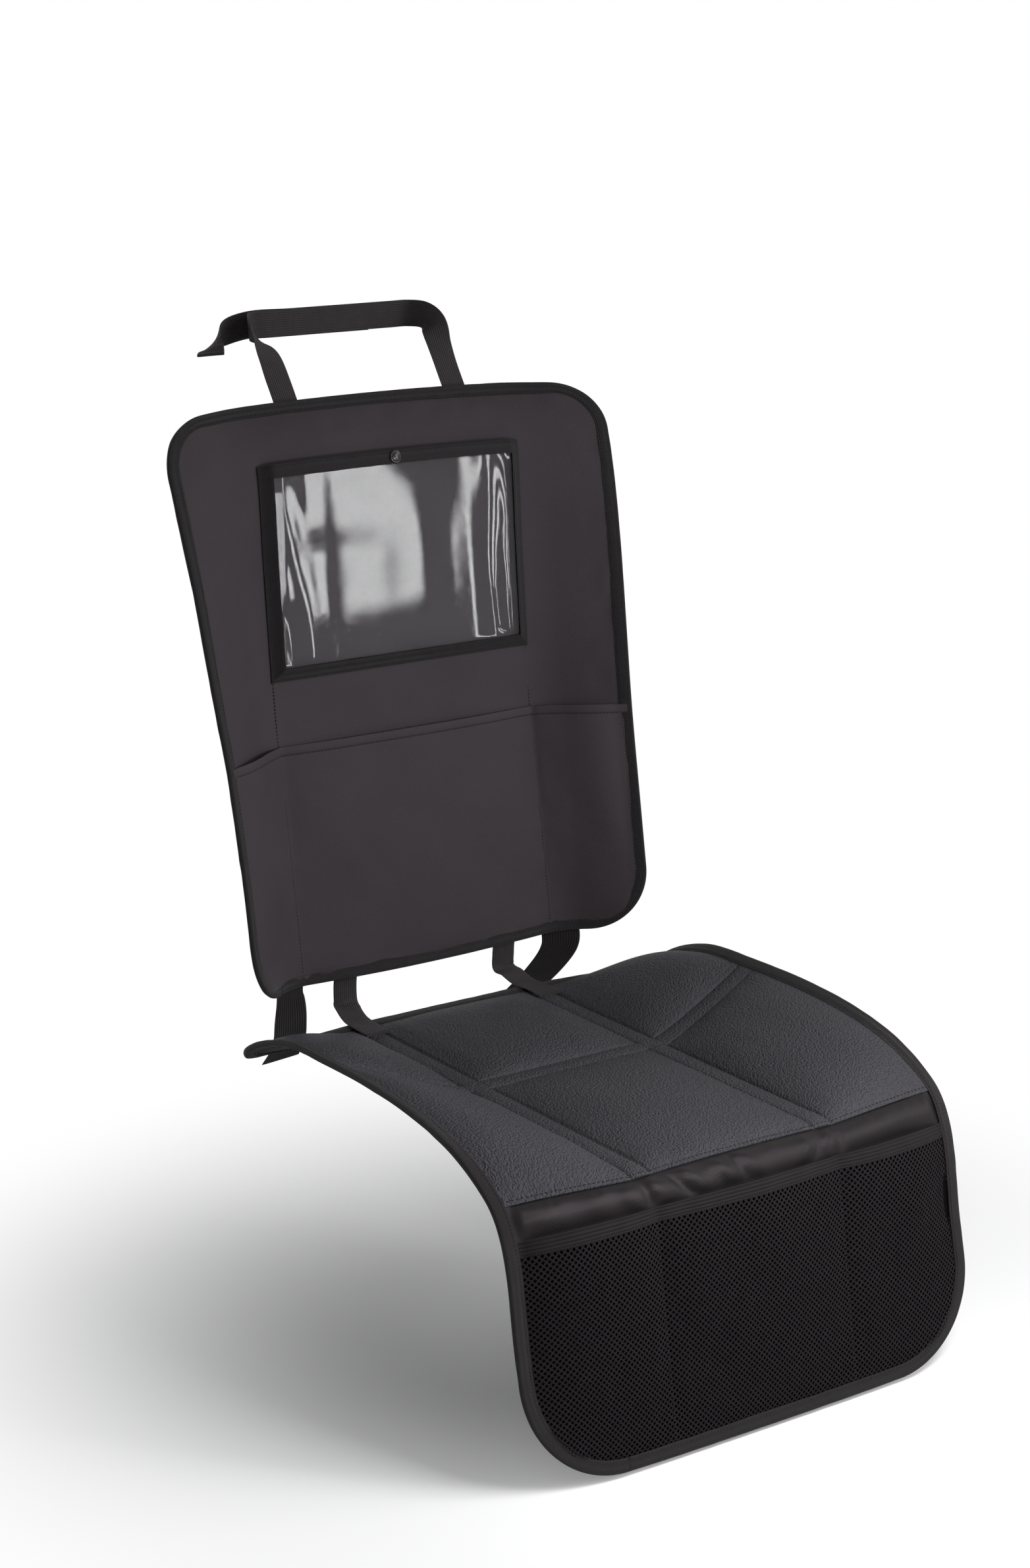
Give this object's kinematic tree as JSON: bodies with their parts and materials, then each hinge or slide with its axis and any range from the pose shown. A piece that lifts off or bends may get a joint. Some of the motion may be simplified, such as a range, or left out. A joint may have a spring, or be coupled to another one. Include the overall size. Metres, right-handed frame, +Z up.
{
  "type": "car seat protector",
  "caption": "Soft car seat protector: a back mat with a clear tablet pocket and cloth pockets that hangs from the headrest posts, and a quilted seat mat with a net-pocket flap.",
  "frame": {"origin": "on the flat underside of the seat mat, in its middle across, 205 mm behind the front seam", "axes": "+X to the right for someone who faces the seat, +Y to the rear, +Z up; the front of the seat faces -Y"},
  "size_m": [0.4756, 0.6731, 0.8635],
  "materials": {
    "polyester": "fine woven dark brownish-black polyester with a faint sheen",
    "twill_tape": "black herringbone twill binding tape",
    "clear_film": "clear glossy soft plastic film",
    "snap_black": "black lacquered press stud",
    "webbing": "black ribbed woven webbing",
    "hook_and_loop": "black hook-and-loop tape",
    "elastic": "black ribbed elastic band",
    "leatherette": "charcoal grained leatherette with a soft gloss",
    "foam": "grey open-cell foam, hidden inside the pads",
    "grip_cloth": "black non-slip backing cloth, matt",
    "satin": "black satin-weave polyester, softly shiny",
    "net": "black nylon net"
  },
  "bodies": {
    "root": {"back_panel": "polyester", "back_binding": "twill_tape", "pocket_panel": "polyester", "window_film": "clear_film", "window_tape_top": "twill_tape", "window_tape_bottom": "twill_tape", "window_tape_left": "twill_tape", "window_tape_right": "twill_tape", "snap_cap": "snap_black", "snap_socket": "snap_black", "snap_stud": "snap_black", "head_strap_left": "webbing", "head_strap_right": "webbing", "loop_tape": "hook_and_loop", "hook_tape": "hook_and_loop", "lower_strap_left": "webbing", "lower_strap_right": "webbing", "elastic_strap_left": "elastic", "elastic_strap_right": "elastic", "seat_cover": "leatherette", "foam_front_left": "foam", "foam_rear_left": "foam", "foam_front_middle": "foam", "foam_rear_middle": "foam", "foam_front_right": "foam", "foam_rear_right": "foam", "base_sheet": "grip_cloth", "seat_binding": "twill_tape", "front_panel": "satin", "net_pocket": "net", "elastic_edge": "elastic"}
  },
  "joints": []
}
